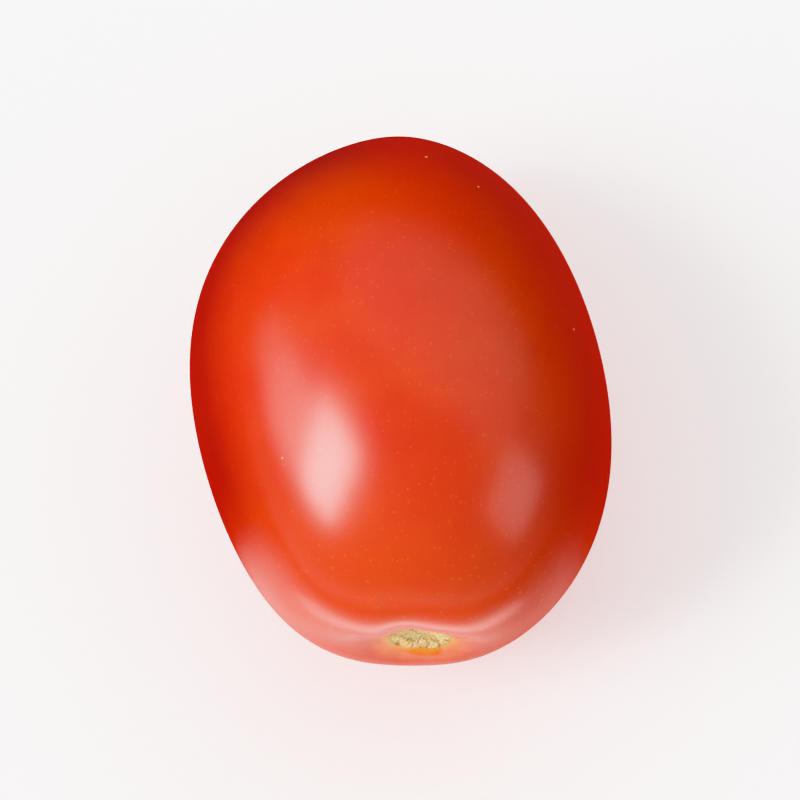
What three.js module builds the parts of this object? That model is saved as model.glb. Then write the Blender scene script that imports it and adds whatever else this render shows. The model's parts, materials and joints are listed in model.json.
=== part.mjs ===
// A ripe plum tomato lying on its side, as picked, with its stem broken off at the fruit.
//
// It is one solid that grew in one piece: a long fruit with three soft lobes, a broad stem end with a
// shallow hollow and a corky stem scar, and a narrower blossom end that closes in a small point.
// The fruit is shaped in its own frame, with its axis along +Z from the middle towards the stem, +X
// to its right and +Y to its back, and is then laid down. All lengths are in millimetres.
//
// The finished part has +Z up, the stem end towards -Y and the table at z = 0.

import * as THREE from "three";
import { mergeVertices } from "three/addons/utils/BufferGeometryUtils.js";

// Overall size
const HALF_LENGTH = 35.6;
const HALF_WIDTH = 25.8;
const HALF_DEPTH = 24.6;

// Outline: how the girth differs from a plain ellipsoid's, in shares of it
const STEM_HALF_LOSS = 0.035;
const BOTH_ENDS_LOSS = 0.075;

// The middle line sways: the blossom half sits left of the stem half
const SWAY = 3.45;
const SWAY_REACH = 31;
const SWAY_FADE = 0.97;

// Three soft lobes, one to the right of the back, and four softer corners between the flatter sides.
// Both are strongest at the stem end, and the wave they make together turns a little along the fruit.
const LOBE_ANGLE = THREE.MathUtils.degToRad(30);
const LOBE_PART = 0.45;
const CORNER_ANGLE = THREE.MathUtils.degToRad(45);
const CORNER_PART = 0.55;
const WAVE_TWIST = THREE.MathUtils.degToRad(4);
const WAVE_SHARE = 0.02;
const WAVE_RISE = 0.2;
const WAVE_CREST_RADIUS = 9;

// Stem end: a broad flattening, the hollow in it, a shoulder that stands higher above the hollow than
// below it, and small puckers round the scar. The hollow is a little to the right of the axis and below it.
const FLATTENING = 5.2;
const FLATTENING_RADIUS = 13.4;
const HOLLOW_DEPTH = 2.3;
const HOLLOW_RADIUS = 6.3;
const HOLLOW_ASIDE = 2.1;
const HOLLOW_DOWN = 1.2;
const HOLLOW_SHIFT_RADIUS = 10;
const SHOULDER_RISE = 0.9;
const SHOULDER_RADIUS = 7;
const PUCKER_DEPTH = 0.16;
const PUCKER_RADIUS = 6.2;
const PUCKER_WIDTH = 1.5;

// Stem scar: a cork ring with cracks across it, round the stub of the stem
const SCAR_RADIUS = 3.9;
const CORK_RING_RADIUS = 2.7;
const CORK_RING_WIDTH = 0.75;
const CORK_RING_HEIGHT = 0.42;
const CRACK_COUNT = 11;
const CRACK_DEPTH = 0.2;
const SKIN_GROOVE_DEPTH = 0.28;
const SKIN_GROOVE_WIDTH = 0.45;
const STUB_RADIUS = 0.95;
const STUB_HEIGHT = 0.45;

// Blossom end: a soft cone that ends in a small point
const CONE_HEIGHT = 0.7;
const CONE_RADIUS = 6.5;
const POINT_HEIGHT = 0.55;
const POINT_RADIUS = 1.5;

// How it lies: the stem end is a little raised, and the skin is pressed flat where it rests
const LEAN = THREE.MathUtils.degToRad(5);
const PRESSED_DEPTH = 0.8;
const PRESSED_ROUNDING = 0.3;

// Mesh: rows run from the stem to the blossom end, closer together at the two ends
const COLUMNS = 88;
const ROWS = 56;
const STEM_CROWDING = { share: 0.76, reach: 0.16 };
const BLOSSOM_CROWDING = { share: 0.6, reach: 0.05 };

const SKIN_COLOUR = 0xd63c14;

// A smooth hill of height 1 over a place, falling away over a width
const hill = (at, place, width) => Math.exp(-(((at - place) / width) ** 2));

// A row's angle from the stem pole, 0 at the stem and PI at the blossom end
function rowAngle(share) {
  const eased = (v) =>
    v -
    STEM_CROWDING.share * STEM_CROWDING.reach * (1 - Math.exp(-v / STEM_CROWDING.reach)) -
    BLOSSOM_CROWDING.share * BLOSSOM_CROWDING.reach * Math.exp((v - 1) / BLOSSOM_CROWDING.reach);
  return (Math.PI * (eased(share) - eased(0))) / (eased(1) - eased(0));
}

// Lobes and corners as a wave round the fruit, near 1 on a high place and -1 in a furrow
function lobeWave(angle, along) {
  const turned = angle - WAVE_TWIST * (1 - along);
  return (
    LOBE_PART * Math.cos(3 * (turned - LOBE_ANGLE)) + CORNER_PART * Math.cos(4 * (turned - CORNER_ANGLE))
  );
}

// How far the fruit's surface stands out of the stem end's plain dome, along the axis
function stemEndRelief(radius, angle, along) {
  const crest = (radius / WAVE_CREST_RADIUS) ** 2;
  const lobes = WAVE_RISE * crest * Math.exp(1 - crest) * lobeWave(angle, along);
  const puckers =
    PUCKER_DEPTH *
    hill(radius, PUCKER_RADIUS, PUCKER_WIDTH) *
    (Math.cos(5 * angle + 0.6) + 0.6 * Math.cos(7 * angle + 2.1));
  const above = (0.5 + 0.5 * Math.sin(angle)) ** 2;
  const rim = (radius / SHOULDER_RADIUS) ** 2;
  const shoulder = SHOULDER_RISE * above * (rim * Math.exp(1 - rim)) ** 2;
  return (
    lobes +
    puckers +
    shoulder -
    FLATTENING * hill(radius, 0, FLATTENING_RADIUS) -
    HOLLOW_DEPTH * hill(radius, 0, HOLLOW_RADIUS)
  );
}

// How far the stem scar stands out of the hollow
function scarRelief(radius, angle) {
  const edge = SCAR_RADIUS * (1 + 0.07 * Math.cos(4 * angle + 0.5) + 0.05 * Math.cos(7 * angle + 1.2));
  const ring = hill(radius, (CORK_RING_RADIUS * edge) / SCAR_RADIUS, CORK_RING_WIDTH);
  const cracks = 0.5 + 0.5 * Math.cos(CRACK_COUNT * angle + 1.5 * Math.cos(2 * angle));
  return (
    ring * (CORK_RING_HEIGHT - CRACK_DEPTH * cracks) -
    SKIN_GROOVE_DEPTH * hill(radius, edge, SKIN_GROOVE_WIDTH) +
    STUB_HEIGHT * hill(radius, 0, STUB_RADIUS)
  );
}

// How far the blossom end stands out of its plain dome
function blossomEndRelief(radius) {
  return CONE_HEIGHT * hill(radius, 0, CONE_RADIUS) + POINT_HEIGHT * hill(radius, 0, POINT_RADIUS);
}

// A point of the skin, in the fruit's own frame
function skinPoint(angle, fromStem) {
  const along = Math.cos(fromStem);
  const towardsStem = (1 + along) / 2;
  const outline = 1 - STEM_HALF_LOSS * along - BOTH_ENDS_LOSS * along ** 4;
  const lobes = 1 + WAVE_SHARE * towardsStem * lobeWave(angle, along);
  const girth = Math.sin(fromStem) * outline * lobes;
  const radius = girth * HALF_WIDTH;

  const height =
    HALF_LENGTH * along +
    towardsStem ** 2 * (stemEndRelief(radius, angle, along) + scarRelief(radius, angle)) -
    (1 - towardsStem) ** 2 * blossomEndRelief(radius);
  const sway = SWAY * Math.tanh(height / SWAY_REACH) * (1 - SWAY_FADE * along ** 2);
  const shift = along > 0 ? hill(radius, 0, HOLLOW_SHIFT_RADIUS) : 0;
  return new THREE.Vector3(
    radius * Math.cos(angle) + sway + HOLLOW_ASIDE * shift,
    HALF_DEPTH * girth * Math.sin(angle) - HOLLOW_DOWN * shift,
    height,
  );
}

// A height above the table once the skin is pressed flat on it, with a rounded edge to the flat spot
function pressed(height) {
  if (height <= -PRESSED_ROUNDING) return 0;
  if (height >= PRESSED_ROUNDING) return height;
  return (height + PRESSED_ROUNDING) ** 2 / (4 * PRESSED_ROUNDING);
}

// A sphere's mesh, whose row 0 is the stem pole, takes the form of the skin
function fruitGeometry() {
  const geometry = new THREE.SphereGeometry(1, COLUMNS, ROWS);
  const position = geometry.getAttribute("position");
  for (let i = 0; i < position.count; i++) {
    const column = i % (COLUMNS + 1);
    const row = Math.floor(i / (COLUMNS + 1));
    const point = skinPoint((2 * Math.PI * column) / COLUMNS, rowAngle(row / ROWS));
    position.setXYZ(i, point.x, point.y, point.z);
  }
  geometry.rotateX(Math.PI / 2 - LEAN);
  return geometry;
}

// The fruit is lowered until it rests, pressed flat, and moved so that the origin is under its middle
function layDown(geometry) {
  geometry.computeBoundingBox();
  geometry.translate(0, 0, -geometry.boundingBox.min.z - PRESSED_DEPTH);
  const position = geometry.getAttribute("position");
  for (let i = 0; i < position.count; i++) position.setZ(i, pressed(position.getZ(i)));
  geometry.computeBoundingBox();
  const middle = geometry.boundingBox.getCenter(new THREE.Vector3());
  geometry.translate(-middle.x, -middle.y, 0);
}

// One closed surface: the sphere's seam and poles are joined
function joined(geometry) {
  geometry.deleteAttribute("normal");
  geometry.deleteAttribute("uv");
  const closed = mergeVertices(geometry, 1e-4);
  closed.computeVertexNormals();
  return closed;
}

const fruit = fruitGeometry();
layDown(fruit);

const tomato = new THREE.Mesh(
  joined(fruit),
  new THREE.MeshStandardMaterial({ color: SKIN_COLOUR, roughness: 0.32, metalness: 0 }),
);
tomato.name = "tomato";

const part = new THREE.Group();
part.add(tomato);

export default part;
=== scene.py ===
# %% [markdown]
# # A ripe plum tomato
#
# This lesson dresses one fruit. Its solid comes from the CAD model, which fixes its size, its place and
# its main form. Here it gets what a camera sees from a hand's width away: a smooth skin, the cork of the
# stem scar, golden flecks under a waxy gloss, and soft studio light.
#
# The first lines load the solid. Everything in the scene is in metres, with +Z up, the stem end
# towards -Y and the table at z = 0.

# %% Load the solid
import json
import math

import bpy
from mathutils import Matrix, Vector, noise

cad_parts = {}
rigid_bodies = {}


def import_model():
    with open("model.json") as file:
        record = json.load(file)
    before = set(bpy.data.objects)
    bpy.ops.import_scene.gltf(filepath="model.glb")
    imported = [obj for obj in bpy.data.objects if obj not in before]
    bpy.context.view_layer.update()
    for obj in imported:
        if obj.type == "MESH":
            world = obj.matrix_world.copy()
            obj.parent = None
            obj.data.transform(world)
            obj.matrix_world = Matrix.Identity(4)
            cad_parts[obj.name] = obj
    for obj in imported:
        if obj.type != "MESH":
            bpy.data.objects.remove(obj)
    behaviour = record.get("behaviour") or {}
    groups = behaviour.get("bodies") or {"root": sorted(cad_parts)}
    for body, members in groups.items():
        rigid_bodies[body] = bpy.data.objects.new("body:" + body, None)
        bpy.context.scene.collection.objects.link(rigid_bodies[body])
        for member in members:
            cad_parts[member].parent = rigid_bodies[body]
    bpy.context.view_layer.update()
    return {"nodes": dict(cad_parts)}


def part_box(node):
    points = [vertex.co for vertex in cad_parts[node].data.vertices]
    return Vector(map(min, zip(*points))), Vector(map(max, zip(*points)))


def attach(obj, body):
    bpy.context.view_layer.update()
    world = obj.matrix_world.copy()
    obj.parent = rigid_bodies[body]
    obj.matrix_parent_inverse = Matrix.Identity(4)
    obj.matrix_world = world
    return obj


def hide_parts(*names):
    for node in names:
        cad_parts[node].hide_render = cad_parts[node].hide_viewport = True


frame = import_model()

fruit_low, fruit_high = (Vector(corner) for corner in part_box("tomato"))
fruit_middle = (fruit_low + fruit_high) / 2
print("the solid measures", [round(1000 * side, 1) for side in fruit_high - fruit_low], "mm")

# %% [markdown]
# ## The places that the finish is built round
#
# A tomato's colour and relief follow two places: the stem scar, where the stalk broke off, and the point
# at the other end, where the flower was. Both lie on the fruit's axis, which leans a little because the
# fruit rests on its side. A ray shot at the solid from outside finds how far in each of them lies.

# %% Stem scar and blossom point
MM = 0.001
SCAR_ASIDE = 2.35 * MM
SCAR_HEIGHT = 25.3 * MM
SCAR_RADIUS = 3.9 * MM
POINT_ASIDE = 0.1 * MM
POINT_HEIGHT = 20.8 * MM
LEAN = math.radians(5)

solid = frame["nodes"]["tomato"]


def met_by_ray(aside, height, direction):
    """Where a ray along Y first meets the solid, at a place to the side and a height."""
    start = Vector((aside, -direction * 2 * fruit_high.y, height))
    found, place, _normal, _face = solid.ray_cast(start, Vector((0, direction, 0)))
    assert found, "the ray misses the fruit"
    return place


scar_middle = met_by_ray(SCAR_ASIDE, SCAR_HEIGHT, 1)
blossom_point = met_by_ray(POINT_ASIDE, POINT_HEIGHT, -1)
to_stem = Vector((0, -math.cos(LEAN), math.sin(LEAN)))
print("stem scar at", [round(1000 * c, 1) for c in scar_middle], "mm")

# %% [markdown]
# ## The fruit
#
# The real skin is one tight, curved sheet with no edge anywhere. The solid is made of flat faces, so a
# copy of it is taken and smoothed. Its loose triangles are first welded and turned back into four-sided
# faces, because a subdivision surface flows smoothly over those and puckers over triangles. The new
# piece stands for the solid, which stays as it was for resting and colliding.

# %% A smooth copy of the solid
SMOOTHING_LEVELS = 2
WELD_DISTANCE = 0.005 * MM


def only(piece):
    """Selects one object and nothing else, because an operator acts on all that is selected."""
    bpy.ops.object.select_all(action="DESELECT")
    piece.select_set(True)
    bpy.context.view_layer.objects.active = piece


only(solid)
bpy.ops.object.duplicate()
fruit = bpy.context.active_object
fruit.name = "tomato_fruit"
fruit.data.name = "tomato_fruit"
only(fruit)
bpy.ops.object.parent_clear(type="CLEAR_KEEP_TRANSFORM")
bpy.ops.object.transform_apply(location=True, rotation=True, scale=True)
bpy.ops.object.mode_set(mode="EDIT")
bpy.ops.mesh.select_all(action="SELECT")
bpy.ops.mesh.remove_doubles(threshold=WELD_DISTANCE)
bpy.ops.mesh.tris_convert_to_quads(face_threshold=math.radians(50), shape_threshold=math.radians(60))
bpy.ops.object.mode_set(mode="OBJECT")
print(len(fruit.data.polygons), "faces after welding")

smoothing = fruit.modifiers.new("smooth_skin", "SUBSURF")
smoothing.levels = SMOOTHING_LEVELS
smoothing.render_levels = SMOOTHING_LEVELS
bpy.ops.object.modifier_apply(modifier=smoothing.name)
bpy.ops.object.shade_smooth()
print(len(fruit.data.polygons), "faces once smooth")

# %% [markdown]
# ## The cork of the stem scar
#
# Where the stalk snapped off, the fruit healed with a dry cork disc. It is cracked from the middle
# outwards, its rim is ragged, and small flakes stand up on it. The solid has the disc, its ring and its
# stub. The fine grain is sculpted here by moving the smooth mesh's points along their normals, with a
# noise that is stretched outwards from the middle, as the cracks are. The skin round it is pulled into
# fine pleats that fade within a few millimetres.

# %% Grain, cracks and pleats
CORK_GRAIN_DEPTH = 0.16 * MM
CORK_GRAIN_SIZE = 0.55 * MM
CORK_CRACK_DEPTH = 0.3 * MM
PLEAT_DEPTH = 0.07 * MM
PLEAT_REACH = 4.5 * MM


def smooth_step(low, high, value):
    """0 below low, 1 above high, and a soft slope between them."""
    share = min(max((value - low) / (high - low), 0), 1)
    return share * share * (3 - 2 * share)


def scar_frame(place):
    """Distance from the scar's middle, and the direction from it as a point on a unit circle."""
    offset = place - scar_middle
    across = offset - to_stem * offset.dot(to_stem)
    reach = across.length
    if reach < 1e-7:
        return 0.0, Vector((1, 0, 0))
    return reach, across / reach


def cork_height(place):
    """How far a point near the scar is raised along its normal."""
    reach, direction = scar_frame(place)
    ragged = SCAR_RADIUS * (1 + 0.12 * noise.noise(direction * 2.6 + Vector((3, 1, 4))))
    cork = 1 - smooth_step(ragged - 0.5 * MM, ragged + 0.1 * MM, reach)
    grain = noise.fractal(place / CORK_GRAIN_SIZE, 0.7, 2.0, 4)
    radial = direction * 3.4 + Vector((0, 0, reach / (2.4 * MM)))
    crack = 1 - abs(noise.noise(radial + Vector((7, 2, 5)))) * 7
    crack = max(crack, 0) * smooth_step(0.5 * MM, 1.4 * MM, reach)
    pleat = noise.noise(direction * 4.5 + Vector((1, 8, 2)))
    fade = smooth_step(ragged - 0.3 * MM, ragged + 0.6 * MM, reach)
    fade *= 1 - smooth_step(SCAR_RADIUS, SCAR_RADIUS + PLEAT_REACH, reach)
    return cork * (CORK_GRAIN_DEPTH * grain - CORK_CRACK_DEPTH * crack) + fade * PLEAT_DEPTH * pleat


near_scar = [v for v in fruit.data.vertices if (v.co - scar_middle).length < SCAR_RADIUS + PLEAT_REACH]
raised = [(v, v.co + v.normal * cork_height(v.co)) for v in near_scar]
for vertex, place in raised:
    vertex.co = place
print(len(near_scar), "points of the scar and its pleats are sculpted")

# %% [markdown]
# ## Skin
#
# Tomato skin is a clear, waxy film over red flesh. Three things make it look alive. The red isn't even:
# it is more orange on the shoulders and in drifting patches, and deepest at the blossom end. Tiny
# golden flecks lie under the film, with a few larger pale ones. And the film isn't quite flat, so the
# reflection of a window has soft, slightly restless edges.
#
# All of it is painted by nodes that read Object coordinates, so the pattern stays on the fruit. A few
# short helpers keep the node code readable.

# %% Node helpers
skin = bpy.data.materials.new("tomato_skin")
skin.use_nodes = True
tree = skin.node_tree
shader = tree.nodes["Principled BSDF"]
surface = tree.nodes.new("ShaderNodeTexCoord").outputs["Object"]


def plug(socket, value):
    """Feeds a socket from another node's output, or sets it to a number, vector or colour."""
    if isinstance(value, bpy.types.NodeSocket):
        tree.links.new(value, socket)
    else:
        socket.default_value = value


def maths(operation, a, b=0.0, c=0.0, clamp=False):
    node = tree.nodes.new("ShaderNodeMath")
    node.operation = operation
    node.use_clamp = clamp
    for socket, value in zip(node.inputs, (a, b, c)):
        plug(socket, value)
    return node.outputs[0]


def ramp(value, low, high, to_low=0.0, to_high=1.0):
    """A soft slope from to_low, where value is low, to to_high, where it is high."""
    node = tree.nodes.new("ShaderNodeMapRange")
    node.interpolation_type = "SMOOTHSTEP"
    for name, number in (("Value", value), ("From Min", low), ("From Max", high),
                         ("To Min", to_low), ("To Max", to_high)):
        plug(node.inputs[name], number)
    return node.outputs["Result"]


def stretched(scale, turn=0.0):
    """Object coordinates in units of the pattern's own size, turned about X to follow the lean."""
    node = tree.nodes.new("ShaderNodeMapping")
    node.vector_type = "TEXTURE"
    node.inputs["Rotation"].default_value = (turn, 0, 0)
    node.inputs["Scale"].default_value = scale
    plug(node.inputs["Vector"], surface)
    return node.outputs["Vector"]


def cloud(size, detail=2.0, roughness=0.5, coordinates=None, distortion=0.0):
    """A noise whose patches are about as large as size, from 0 to 1."""
    node = tree.nodes.new("ShaderNodeTexNoise")
    plug(node.inputs["Vector"], coordinates or stretched((size, size, size)))
    node.inputs["Scale"].default_value = 1
    node.inputs["Detail"].default_value = detail
    node.inputs["Roughness"].default_value = roughness
    node.inputs["Distortion"].default_value = distortion
    return node.outputs["Fac"]


def mix(share, one, other):
    """Colour one where share is 0, and other where it is 1."""
    node = tree.nodes.new("ShaderNodeMix")
    node.data_type = "RGBA"
    plug(node.inputs["Factor"], share)
    plug(node.inputs[6], one)
    plug(node.inputs[7], other)
    return node.outputs[2]


def away_from(place):
    """Distance from a place on the fruit, in metres."""
    node = tree.nodes.new("ShaderNodeVectorMath")
    node.operation = "DISTANCE"
    plug(node.inputs[0], surface)
    node.inputs[1].default_value = place
    return node.outputs["Value"]


def along(direction):
    """Distance from the fruit's middle in a direction, in metres; negative on its other side."""
    node = tree.nodes.new("ShaderNodeVectorMath")
    node.operation = "DOT_PRODUCT"
    plug(node.inputs[0], surface)
    node.inputs[1].default_value = direction
    return maths("SUBTRACT", node.outputs["Value"], fruit_middle.dot(direction))


def dots(size, largest, share_of_cells, coordinates=None):
    """Round dots scattered one to a cell of a given size, in only a share of the cells."""
    node = tree.nodes.new("ShaderNodeTexVoronoi")
    plug(node.inputs["Vector"], coordinates or stretched((size, size, size)))
    node.inputs["Scale"].default_value = 1
    node.inputs["Randomness"].default_value = 1
    pick = tree.nodes.new("ShaderNodeSeparateColor")
    plug(pick.inputs["Color"], node.outputs["Color"])
    here = maths("LESS_THAN", pick.outputs["Red"], share_of_cells)
    width = maths("MULTIPLY_ADD", pick.outputs["Green"], 0.7 * largest, 0.3 * largest)
    edge = maths("SUBTRACT", 1.0, maths("DIVIDE", node.outputs["Distance"], width), clamp=True)
    return maths("MULTIPLY", here, edge)


# %% [markdown]
# ### Where is what
#
# These masks say which finish a point of the surface has. The scar's edge is ragged, so a little noise
# is added to the distance from its middle before it is cut off. The halo is the skin that stays yellow
# to orange next to the cork, where the stalk shaded it. The blush lies on the shoulders. The painted
# shade mask follows the height on the fruit and marks the lower flanks, which are painted darker as shade.

# %% Masks
HALO_REACH = 3.4 * MM
STEM_BLUSH_START = 14 * MM
STEM_BLUSH_END = 33 * MM
PAINTED_SHADE_UPWARDS = Vector((-0.1, 0, 0.99))
TO_RIGHT = Vector((1, 0, 0))
UPWARDS = Vector((0, 0, 1))
# The painted shade starts below the first height and is full at the second, measured along a direction
# leaning a little from the vertical.
PAINTED_SHADE_START_HEIGHT = 24 * MM
PAINTED_SHADE_FULL_HEIGHT = 9 * MM
PAINTED_SHADE_LOSS_AT_STEM = 0.85
BLOSSOM_START = -20 * MM
BLOSSOM_END = -34 * MM

from_scar = away_from(scar_middle)
from_point = away_from(blossom_point)
height_on_axis = along(to_stem)

ragged_edge = maths("MULTIPLY_ADD", cloud(0.9 * MM, 3, 0.6), 1.5 * MM, -0.75 * MM)
ragged_reach = maths("ADD", from_scar, ragged_edge)
cork_mask = ramp(ragged_reach, SCAR_RADIUS + 0.12 * MM, SCAR_RADIUS - 0.12 * MM)
halo_mask = ramp(maths("ADD", from_scar, maths("MULTIPLY_ADD", cloud(3 * MM, 2), 3 * MM, -1.5 * MM)),
                 SCAR_RADIUS + HALO_REACH, SCAR_RADIUS)
stem_mask = ramp(height_on_axis, STEM_BLUSH_START, STEM_BLUSH_END)
blossom_mask = ramp(height_on_axis, BLOSSOM_START, BLOSSOM_END)
# Painted shade: the lower flanks are marked by height, less towards the stem end.
painted_shade_mask = ramp(along(PAINTED_SHADE_UPWARDS), PAINTED_SHADE_START_HEIGHT, PAINTED_SHADE_FULL_HEIGHT)
painted_shade_mask = maths("MULTIPLY", painted_shade_mask, maths("MULTIPLY_ADD", stem_mask, -PAINTED_SHADE_LOSS_AT_STEM, 1.0))
tip_mask = ramp(maths("ADD", from_point, maths("MULTIPLY_ADD", cloud(0.5 * MM, 2), 0.6 * MM, -0.3 * MM)),
                0.95 * MM, 0.45 * MM)
print("the halo ends", round((SCAR_RADIUS + HALO_REACH) / MM, 1), "mm from the scar's middle")

# %% [markdown]
# ### The red
#
# Colours are given as light really mixes, from 0 to 1, and look darker as numbers than on screen. Two
# reds drift into each other in patches of 1 to 3 cm. Long faint streaks run from the stem to the
# blossom end, as the vessels under the skin do. The lower flanks get a painted shade, a deeper red that
# is darkest on the left.

# %% Skin colour
RED = (0.66, 0.040, 0.005, 1)
DEEP_RED = (0.52, 0.009, 0.003, 1)
ORANGE_RED = (0.69, 0.060, 0.006, 1)
BLUSH = (0.76, 0.090, 0.006, 1)
# Painted shade colours for the lower flanks: the second, darker one is used on the left.
PAINTED_SHADE_RED = (0.49, 0.008, 0.002, 1)
PAINTED_DEEP_SHADE_RED = (0.25, 0.0025, 0.002, 1)
GOLD = (0.95, 0.36, 0.06, 1)
PALE_GOLD = (0.95, 0.62, 0.28, 1)
HALO_ORANGE = (0.90, 0.21, 0.012, 1)
HALO_YELLOW = (0.85, 0.45, 0.05, 1)

drift = ramp(cloud(19 * MM, 2, 0.5), 0.38, 0.66)
patches = ramp(cloud(8 * MM, 3, 0.5), 0.42, 0.75)
streaks = ramp(cloud(1, 3, 0.6, stretched((1.6 * MM, 26 * MM, 1.6 * MM), -LEAN)), 0.45, 0.75)

colour = mix(drift, RED, ORANGE_RED)
colour = mix(maths("MULTIPLY", patches, 0.16), colour, DEEP_RED)
colour = mix(maths("MULTIPLY", streaks, 0.09), colour, BLUSH)
colour = mix(maths("MULTIPLY", stem_mask, 0.40), colour, BLUSH)
colour = mix(maths("MULTIPLY", blossom_mask, 0.55), colour, DEEP_RED)
# Painted shade: the lower flanks turn a deeper red, darkest on the left, standing in for the shade there.
painted_shade_colour = mix(ramp(along(TO_RIGHT), -12 * MM, 4 * MM), PAINTED_DEEP_SHADE_RED, PAINTED_SHADE_RED)
colour = mix(maths("MULTIPLY", painted_shade_mask, 0.92), colour, painted_shade_colour)

# %% [markdown]
# ### Golden flecks
#
# Up close the skin is full of tiny golden points, about a tenth of a millimetre across, denser towards
# the stem. A few larger, paler ones are healed nicks. Cells of a Voronoi pattern place them, with one
# dot in some of the cells, so that no two sit on each other.

# %% Flecks
fine_flecks = dots(0.62 * MM, 0.30, 0.55)
soft_flecks = dots(1.5 * MM, 0.24, 0.35)
pale_specks = dots(9 * MM, 0.036, 0.40)
fleck_strength = maths("MULTIPLY_ADD", stem_mask, 0.20, 0.22)
# The flecks fade where the flanks are painted with shade.
fleck_strength = maths("MULTIPLY", fleck_strength, maths("MULTIPLY_ADD", painted_shade_mask, -0.85, 1.0))

colour = mix(maths("MULTIPLY", fine_flecks, fleck_strength), colour, GOLD)
colour = mix(maths("MULTIPLY", soft_flecks, maths("MULTIPLY", fleck_strength, 0.6)), colour, GOLD)
colour = mix(ramp(pale_specks, 0.05, 0.6), colour, PALE_GOLD)

# %% [markdown]
# ### Cork, halo and tip
#
# The cork is a pale straw colour with olive and brown in its cracks, and a dark thin line where it meets
# the skin. The blossom point ends in a dry brown dot.

# %% Scar colours
STRAW = (0.78, 0.54, 0.24, 1)
PALE_STRAW = (0.92, 0.74, 0.44, 1)
OLIVE = (0.36, 0.28, 0.07, 1)
BROWN = (0.09, 0.04, 0.015, 1)

colour = mix(maths("MULTIPLY", halo_mask, 0.9), colour, HALO_ORANGE)
near_cork = ramp(from_scar, SCAR_RADIUS + 1.1 * MM, SCAR_RADIUS + 0.1 * MM)
colour = mix(maths("MULTIPLY", near_cork, 0.40), colour, HALO_YELLOW)

cork_grain = cloud(0.45 * MM, 4, 0.65)
cork = mix(ramp(cork_grain, 0.35, 0.62), STRAW, PALE_STRAW)
cork = mix(ramp(cloud(0.8 * MM, 3, 0.6, distortion=0.6), 0.56, 0.68, 0, 0.75), cork, OLIVE)
cork = mix(ramp(cloud(0.33 * MM, 2, 0.5), 0.62, 0.72, 0, 0.7), cork, BROWN)
from_rim = maths("ABSOLUTE", maths("SUBTRACT", ragged_reach, SCAR_RADIUS - 0.1 * MM))
cork_rim = ramp(from_rim, 0.22 * MM, 0.02 * MM)

colour = mix(cork_mask, colour, cork)
colour = mix(maths("MULTIPLY", cork_rim, 0.55), colour, OLIVE)
colour = mix(maths("MULTIPLY", tip_mask, 0.85), colour, BROWN)
plug(shader.inputs["Base Color"], colour)

# %% [markdown]
# ### Gloss and depth
#
# The waxy film is the shader's coat, and it alone shines. Below it, light goes a little way into the
# flesh and comes out again, which softens the edge of each shadow. The cork is dry, so it has no coat.
# The upper side was wiped and shines. The flanks keep their bloom, a fine dull wax that hides the shine
# most where the skin turns away. The shoulders at the stem end shine there instead, less on the right
# and below the scar. So the gloss has two parts, and each point takes the stronger one.

# %% Gloss and depth
SKIN_ROUGHNESS = 0.35
CORK_ROUGHNESS = 0.85
SMUDGE_ROUGHNESS = 0.10
FLECK_ROUGHNESS = 0.10
FLANK_GLOSS = 0.30
GRAZING_GLOSS = 0.09
RIGHT_SHOULDER_GLOSS = 0.45
LOW_SHOULDER_GLOSS = 0.60

smudges = ramp(cloud(5 * MM, 4, 0.6), 0.42, 0.75, 0.0, SMUDGE_ROUGHNESS)
skin_roughness = maths("ADD", smudges, SKIN_ROUGHNESS)
skin_roughness = maths("MULTIPLY_ADD", fine_flecks, FLECK_ROUGHNESS, skin_roughness)
dry = maths("MAXIMUM", cork_mask, tip_mask)
roughness = maths("ADD", skin_roughness, maths("MULTIPLY", dry, CORK_ROUGHNESS - SKIN_ROUGHNESS), clamp=True)
plug(shader.inputs["Roughness"], roughness)

rim = tree.nodes.new("ShaderNodeLayerWeight")
rim.inputs["Blend"].default_value = 0.5
turned_away = rim.outputs["Facing"]

shoulder_gloss = maths("MULTIPLY", ramp(height_on_axis, 19 * MM, 28 * MM), ramp(turned_away, 0.18, 0.55))
right_side = ramp(along(TO_RIGHT), 4 * MM, 17 * MM, 1.0, RIGHT_SHOULDER_GLOSS)
shoulder_gloss = maths("MULTIPLY", shoulder_gloss, right_side)
low_side = ramp(along(UPWARDS), -4 * MM, 4 * MM, LOW_SHOULDER_GLOSS, 1.0)
shoulder_gloss = maths("MULTIPLY", shoulder_gloss, low_side)

body_gloss = ramp(along(UPWARDS), 2 * MM, 14 * MM, FLANK_GLOSS, 1.0)
body_gloss = maths("MULTIPLY", body_gloss, ramp(turned_away, 0.15, 0.38, 1.0, GRAZING_GLOSS))
wax = maths("MAXIMUM", body_gloss, shoulder_gloss)
plug(shader.inputs["Coat Weight"], maths("MULTIPLY", maths("SUBTRACT", 1.0, dry), wax))

shader.inputs["IOR"].default_value = 1.45
shader.inputs["Specular IOR Level"].default_value = 0
shader.inputs["Coat Roughness"].default_value = 0.27
shader.inputs["Coat IOR"].default_value = 1.75
shader.inputs["Subsurface Weight"].default_value = 0.22
shader.inputs["Subsurface Radius"].default_value = (1.0, 0.22, 0.08)
shader.inputs["Subsurface Scale"].default_value = 2.5 * MM
print("the coat is weakest where the flanks turn away:", round(FLANK_GLOSS * GRAZING_GLOSS, 3))

# %% [markdown]
# ### Relief
#
# Two bumps shape the reflections: a slow waviness of the flesh under the skin, and a fine orange-peel
# grain. The flecks and the healed nicks stand up a little, and the cork is rough.

# %% Relief
WAVINESS = 0.10 * MM
PEEL = 0.003 * MM
FLECK_RISE = 0.002 * MM
NICK_RISE = 0.02 * MM
CORK_RISE = 0.18 * MM

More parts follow.
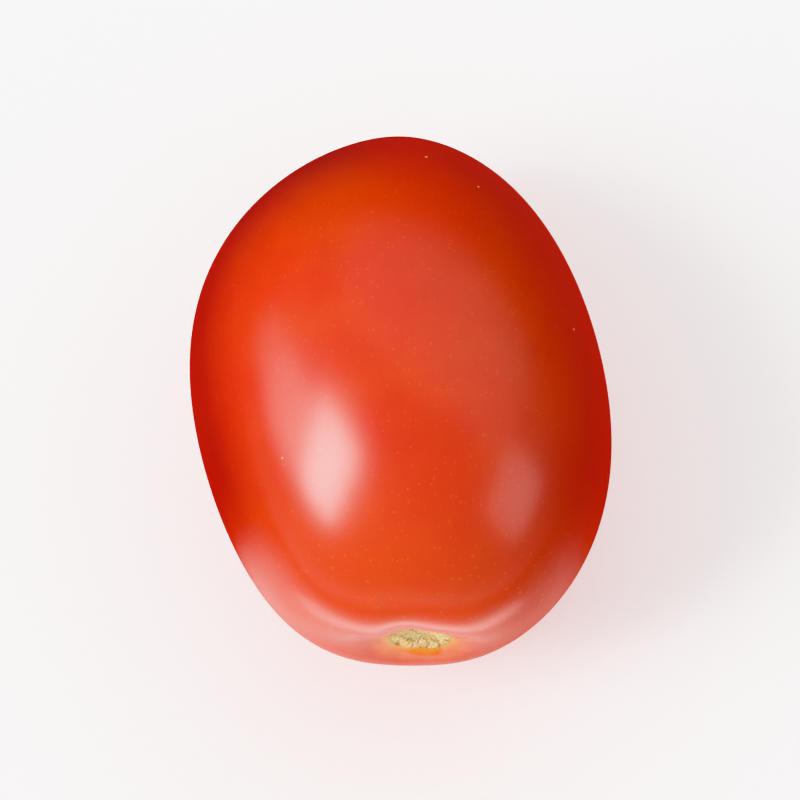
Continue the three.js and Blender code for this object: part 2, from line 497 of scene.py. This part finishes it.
relief = maths("MULTIPLY", cloud(7 * MM, 2, 0.5), WAVINESS)
for pattern, rise in ((cloud(0.55 * MM, 2, 0.5), PEEL), (fine_flecks, FLECK_RISE), (pale_specks, NICK_RISE),
                      (maths("MULTIPLY", cork_grain, cork_mask), CORK_RISE)):
    relief = maths("MULTIPLY_ADD", pattern, rise, relief)

bump = tree.nodes.new("ShaderNodeBump")
bump.inputs["Strength"].default_value = 1
bump.inputs["Distance"].default_value = 1
plug(bump.inputs["Height"], relief)
plug(shader.inputs["Normal"], bump.outputs["Normal"])

fruit.data.materials.clear()
fruit.data.materials.append(skin)
print("the skin has", len(tree.nodes), "nodes")

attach(fruit, "root")
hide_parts("tomato")

# %% [markdown]
# ## The table
#
# The fruit lies on a plain, white, matt sheet that is lit from below too, as a light table is, so that
# only a weak shadow is left, and the shoulders at the stem end have something bright to reflect. It runs
# far past the picture's edge. Seen from low down, its far part would be a grey band, because the
# softboxes don't reach it. So the part more than a hand's width away glows as brightly as the backdrop,
# but only for the camera: Light Path tells a look at the sheet from the light that it gives the fruit.

# %% Table
TABLE_SIZE = 3.0
TABLE_COLOUR = (0.86, 0.86, 0.86, 1)
TABLE_GLOW = 0.38
FAR_GLOW = 1.2
FAR_START = 0.15
FAR_END = 0.60

bpy.ops.object.select_all(action="DESELECT")
bpy.ops.mesh.primitive_plane_add(size=TABLE_SIZE, location=(0, 0, 0))
table = bpy.context.active_object
table.name = "table"
paper = bpy.data.materials.new("table_paper")
paper.use_nodes = True
tree = paper.node_tree  # from here on the node helpers build in the paper
sheet = tree.nodes["Principled BSDF"]
sheet.inputs["Base Color"].default_value = TABLE_COLOUR
sheet.inputs["Roughness"].default_value = 0.9
sheet.inputs["Emission Color"].default_value = (1, 1, 1, 1)

reach = tree.nodes.new("ShaderNodeVectorMath")
reach.operation = "LENGTH"
plug(reach.inputs[0], tree.nodes.new("ShaderNodeTexCoord").outputs["Object"])
looked_at = tree.nodes.new("ShaderNodeLightPath").outputs["Is Camera Ray"]
far_share = maths("MULTIPLY", ramp(reach.outputs["Value"], FAR_START, FAR_END), looked_at)
plug(sheet.inputs["Emission Strength"], maths("MULTIPLY_ADD", far_share, FAR_GLOW - TABLE_GLOW, TABLE_GLOW))
table.data.materials.append(paper)
print("the table is", TABLE_SIZE, "m across")

# %% [markdown]
# ## Light
#
# A tall window at the left gives the long bright reflection there. It is brightest towards the front,
# so it is made of three softboxes side by side, each dimmer than the one before. A weak softbox at the
# right gives the second, faint spot, and a wide dim one behind lifts the far side.
#
# Their directions are the ones that a mirror at each highlight would look in, as an azimuth (0 is
# towards the stem end, 90 is to its right) and a height above the table. A softbox's strength is given
# as its own brightness, where 1 is the brightness of white paper in this light. What a reflection shows
# depends on that alone, and not on the softbox's size.

# %% Softboxes
LIGHT_DISTANCE = 1.0


def towards(azimuth, elevation):
    """The direction of a place in the studio, seen from the fruit."""
    around, up = math.radians(azimuth), math.radians(elevation)
    return Vector((math.sin(around) * math.cos(up), -math.cos(around) * math.cos(up), math.sin(up)))


def softbox(name, azimuth, elevation, width, height, brightness, roll=0, distance=LIGHT_DISTANCE):
    """A rectangular light that faces the fruit, rolled about the line between them."""
    place = fruit_middle + towards(azimuth, elevation) * distance
    bpy.ops.object.light_add(type="AREA", location=place)
    lamp = bpy.context.active_object
    lamp.name = name
    lamp.data.shape = "RECTANGLE"
    lamp.data.size = width
    lamp.data.size_y = height
    lamp.data.energy = brightness * math.pi * width * height
    facing = (fruit_middle - place).to_track_quat("-Z", "Y").to_matrix().to_4x4()
    lamp.rotation_euler = (facing @ Matrix.Rotation(math.radians(roll), 4, "Z")).to_euler()
    return lamp


softbox("window_front", -71, 43, 0.35, 0.56, 15.0, roll=26)
softbox("window_middle", -92, 27, 0.34, 0.50, 2.5, roll=32)
softbox("window_back", -107, 16, 0.34, 0.32, 1.5, roll=30)
softbox("right_spot", 68, 30, 0.54, 0.58, 1.35)
softbox("ceiling", 155, 48, 2.0, 1.5, 0.46, distance=1.2)

# %% [markdown]
# ### Card
#
# A narrow bright card lies on the table in front of the stem end, just outside the picture. Only
# reflections see it, and it draws the pale line along the ridge above the scar.

# %% Card
CARD_PLACE = Vector((0, -65, 1)) * MM
CARD_WIDTH = 100 * MM
CARD_DEPTH = 20 * MM
CARD_BRIGHTNESS = 3.0

bpy.ops.object.light_add(type="AREA", location=CARD_PLACE, rotation=(math.pi, 0, 0))
card = bpy.context.active_object
card.name = "front_card"
card.data.shape = "RECTANGLE"
card.data.size = CARD_WIDTH
card.data.size_y = CARD_DEPTH
card.data.energy = CARD_BRIGHTNESS * math.pi * CARD_WIDTH * CARD_DEPTH
card.visible_camera = False
card.visible_diffuse = False
print("the card is", round(CARD_WIDTH / MM), "by", round(CARD_DEPTH / MM), "mm")

# %% [markdown]
# ### Room
#
# The room is dim, but the backdrop that a picture shows past the table is white. The view transform
# rolls bright reds off softly, as a camera does, so the highlights don't turn flat or pink.

# %% Room and view
ROOM_BRIGHTNESS = 0.36
BACKDROP_BRIGHTNESS = 1.5

world = bpy.context.scene.world or bpy.data.worlds.new("studio")
bpy.context.scene.world = world
world.use_nodes = True
tree = world.node_tree  # and from here on in the world
background = tree.nodes["Background"]
background.inputs["Color"].default_value = (1, 1, 1, 1)
looked_at = tree.nodes.new("ShaderNodeLightPath").outputs["Is Camera Ray"]
plug(background.inputs["Strength"], ramp(looked_at, 0, 1, ROOM_BRIGHTNESS, BACKDROP_BRIGHTNESS))
bpy.context.scene.view_settings.view_transform = "Khronos PBR Neutral"

# %% [markdown]
# ## Camera
#
# The camera looks steeply down from the stem's side, so the scar just shows past the near shoulder. Its
# picture's upward direction is the fruit's length, which an ordinary look-at rotation would roll away
# from, so the rotation is built from the three directions of the view.

# %% Camera
CAMERA_OFFSET = Vector((-0.027, -0.2047, 0.6694))
PICTURE_WIDTH = 0.0985
AIM_BELOW_MIDDLE = 1.5 * MM

backwards = CAMERA_OFFSET.normalized()
rightwards = Vector((0, 1, 0)).cross(backwards).normalized()
upwards = backwards.cross(rightwards)
bpy.ops.object.camera_add(location=fruit_middle + CAMERA_OFFSET - AIM_BELOW_MIDDLE * upwards)
camera = bpy.context.active_object
camera.name = "camera"
camera.rotation_euler = Matrix((rightwards, upwards, backwards)).transposed().to_euler()
camera.data.sensor_width = 36
camera.data.lens = 36 * CAMERA_OFFSET.length / PICTURE_WIDTH
camera.data.clip_start = 0.01
camera.data.clip_end = 20
bpy.context.scene.camera = camera
print("lens", round(camera.data.lens, 1), "mm")
